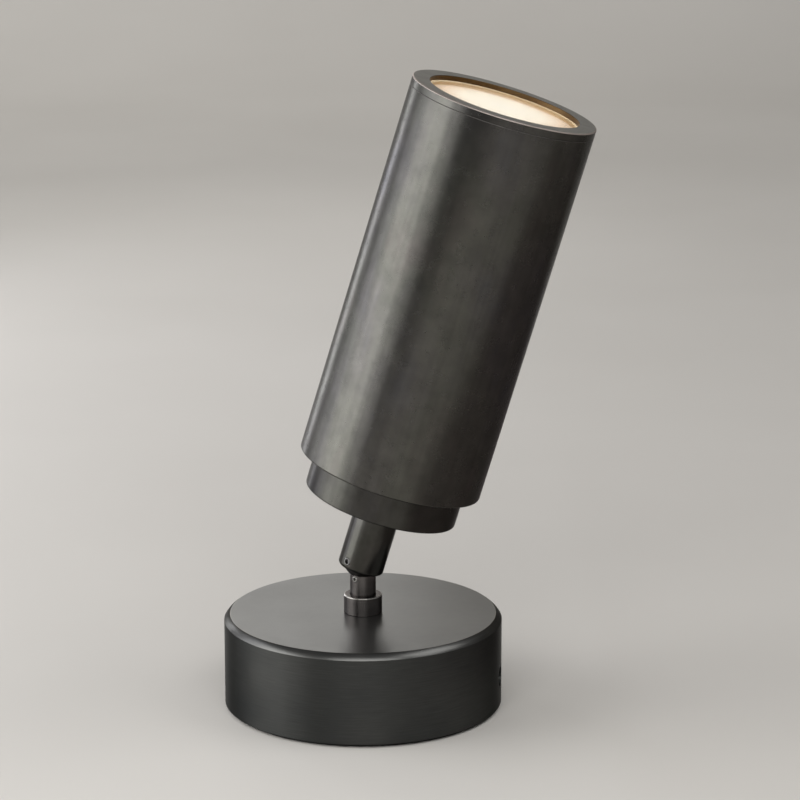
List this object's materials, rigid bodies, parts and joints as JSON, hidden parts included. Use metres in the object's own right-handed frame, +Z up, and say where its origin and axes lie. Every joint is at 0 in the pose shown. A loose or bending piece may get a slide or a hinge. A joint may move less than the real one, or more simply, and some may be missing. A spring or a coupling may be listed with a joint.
{
  "type": "tabletop searchlight lamp",
  "caption": "Tabletop spot lamp: long round metal head with a glowing recessed lens, on a ball swivel and short turning stem over a heavy round base.",
  "frame": {"origin": "middle of the base's underside, on the table", "axes": "+Z up along the base's and the stem's axis; the head leans towards +X; the push switch faces +Y"},
  "size_m": [0.1501, 0.1176, 0.2626],
  "materials": {
    "base_shell": "dark patinated steel, brushed around the side",
    "foot_pad": "matt",
    "base_plate": "black paint",
    "plate_screws": "zinc plated",
    "ballast_weight": "as cast",
    "ballast_screws": "zinc plated",
    "cord_bush": "matt black",
    "switch_body": "black moulding",
    "switch_nut": "nickel plated",
    "switch_button": "black, slightly glossy",
    "switch_spring": "spring wire",
    "driver_box": "pale moulding",
    "driver_screws": "zinc plated",
    "terminal_block": "natural moulding",
    "collar": "dark polished, worn bright at the rim",
    "collar_nut": "zinc plated",
    "stem": "dark polished",
    "stem_screw": "black oxide",
    "pan_washer": "spring steel",
    "stem_nut": "zinc plated",
    "swivel_ball": "polished",
    "knuckle": "dark bronze patina",
    "lock_screw": "black oxide",
    "ball_seat": "machined",
    "seat_springs": "spring steel",
    "knuckle_nipple": "machined",
    "nipple_nut": "machined",
    "rear_cap": "dark bronze patina, mottled",
    "head_tube": "dark bronze patina, mottled",
    "front_ring": "dark bronze patina, bright worn bevel",
    "heat_sink": "machined",
    "heat_sink_screws": "zinc plated",
    "led_board": "white solder mask",
    "board_screws": "zinc plated",
    "led_emitter": "phosphor",
    "reflector": "bright spun",
    "retaining_ring": "black anodised",
    "lens_gasket": "soft silicone",
    "diffuser": "opal, glowing warm white",
    "lens_glass": "clear"
  },
  "bodies": {
    "base": {"base_shell": "base_shell", "foot_pad": "foot_pad", "base_plate": "base_plate", "plate_screws": "plate_screws", "ballast_weight": "ballast_weight", "ballast_screws": "ballast_screws", "cord_bush": "cord_bush", "switch_body": "switch_body", "switch_nut": "switch_nut", "switch_spring": "switch_spring", "driver_box": "driver_box", "driver_screws": "driver_screws", "terminal_block": "terminal_block", "collar": "collar", "collar_nut": "collar_nut"},
    "stem": {"stem": "stem", "pan_washer": "pan_washer", "stem_nut": "stem_nut", "swivel_ball": "swivel_ball", "stem_screw": "stem_screw"},
    "head": {"knuckle": "knuckle", "lock_screw": "lock_screw", "ball_seat": "ball_seat", "seat_springs": "seat_springs", "knuckle_nipple": "knuckle_nipple", "rear_cap": "rear_cap", "nipple_nut": "nipple_nut", "head_tube": "head_tube", "heat_sink": "heat_sink", "heat_sink_screws": "heat_sink_screws", "led_board": "led_board", "board_screws": "board_screws", "led_emitter": "led_emitter", "reflector": "reflector", "retaining_ring": "retaining_ring", "lens_gasket": "lens_gasket", "diffuser": "diffuser", "lens_glass": "lens_glass", "front_ring": "front_ring"},
    "button": {"switch_button": "switch_button"}
  },
  "joints": [
    {"name": "pan", "type": "hinge", "parent": "base", "child": "stem", "pos_m": [0, 0, 0.0469], "axis": [0, 0, 1], "range_deg": [-175, 175]},
    {"name": "tilt", "type": "hinge", "parent": "stem", "child": "head", "pos_m": [0, 0, 0.0615], "axis": [0.0906, 0.9959, 0], "range_deg": [-43.65, 10.35]},
    {"name": "switch_press", "type": "slide", "parent": "base", "child": "button", "axis": [0, -1, 0], "range_m": [0, 0.002], "stiffness_N_per_m": 800, "springref_m": -0.001, "deforming": ["switch_spring"]}
  ]
}
